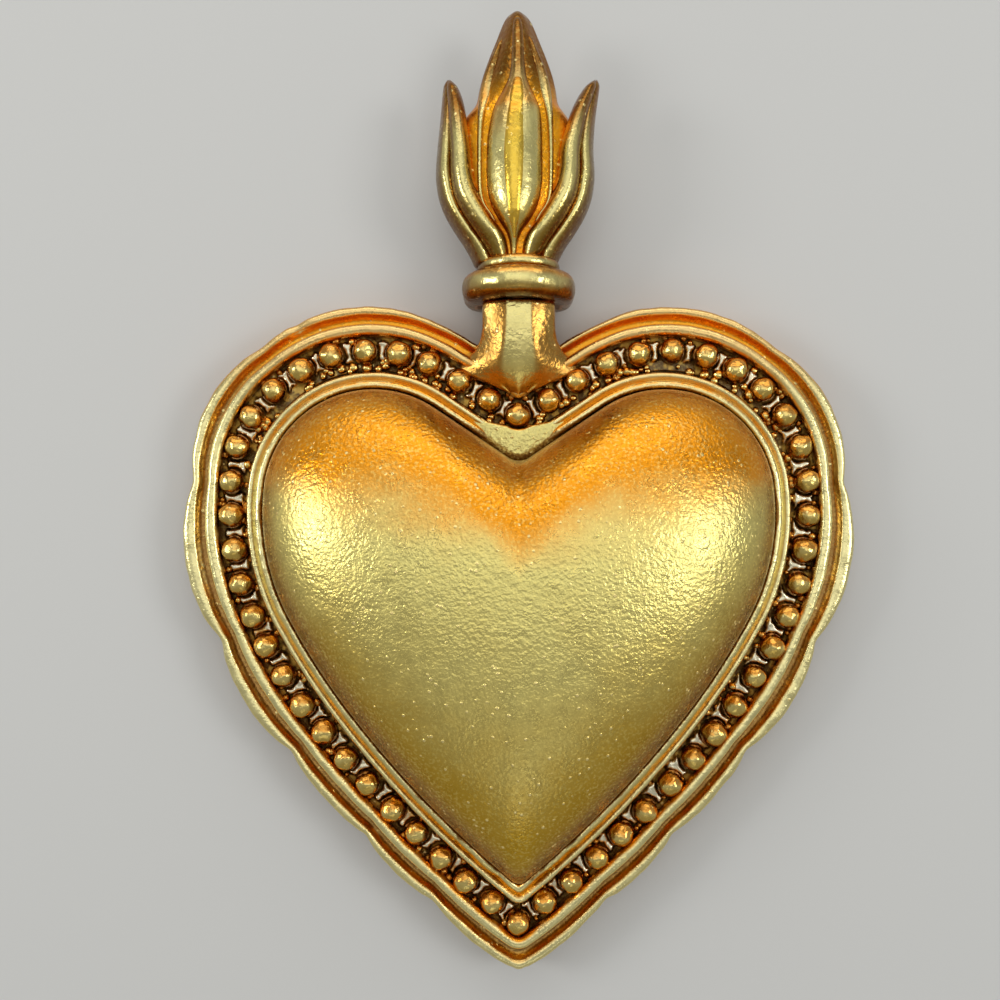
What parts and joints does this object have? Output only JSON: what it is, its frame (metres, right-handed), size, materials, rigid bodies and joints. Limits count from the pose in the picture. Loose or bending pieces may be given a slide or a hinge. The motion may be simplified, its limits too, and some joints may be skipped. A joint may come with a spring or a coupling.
{
  "type": "milagro charm",
  "caption": "Gilt flaming-heart wall charm: hollow domed heart in a beaded, scalloped border, torch neck with collar and flame, and a folding wire loop behind to hang it by.",
  "frame": {"origin": "under the middle of the outline, on the plane that the rim rests on", "axes": "+X across the heart, +Y from the heart's tip towards the flame, +Z out of the front"},
  "size_m": [0.0708, 0.1, 0.0164],
  "materials": {
    "dome_gold": "satin gilding with a fine orange-peel grain",
    "border_gold": "satin gilding, worn bright on the edges, brown in the grooves",
    "tray_gold": "pale worn gilding, black-brown round the beads",
    "bead_gold": "bright gilding, dark at the foot",
    "torch_gold": "satin gilding, brown in the folds",
    "back_brass": "plain dull brass sheet",
    "wire_brass": "drawn brass wire"
  },
  "bodies": {
    "charm": {"scalloped_rim": "border_gold", "ridge_moulding": "border_gold", "bead_tray": "tray_gold", "bead_row": "bead_gold", "bezel_outer_ring": "border_gold", "bezel_inner_ring": "border_gold", "cleft_land": "border_gold", "heart_dome": "dome_gold", "back_plate": "back_brass", "neck": "torch_gold", "collar_ring": "torch_gold", "collar_cap": "torch_gold", "torch_pin": "wire_brass", "flame_core": "torch_gold", "flame_petal": "torch_gold", "flame_rib": "torch_gold", "flame_veins": "torch_gold", "flame_inner_left": "torch_gold", "flame_inner_right": "torch_gold", "flame_outer_left": "torch_gold", "flame_outer_right": "torch_gold", "hanger_barrel": "wire_brass"},
    "hanger": {"hanger_loop": "wire_brass"}
  },
  "joints": [
    {"name": "hanger_swing", "type": "hinge", "parent": "charm", "child": "hanger", "pos_m": [0, 0, 0.0014], "axis": [-1, 0, 0], "range_deg": [0, 180]}
  ]
}
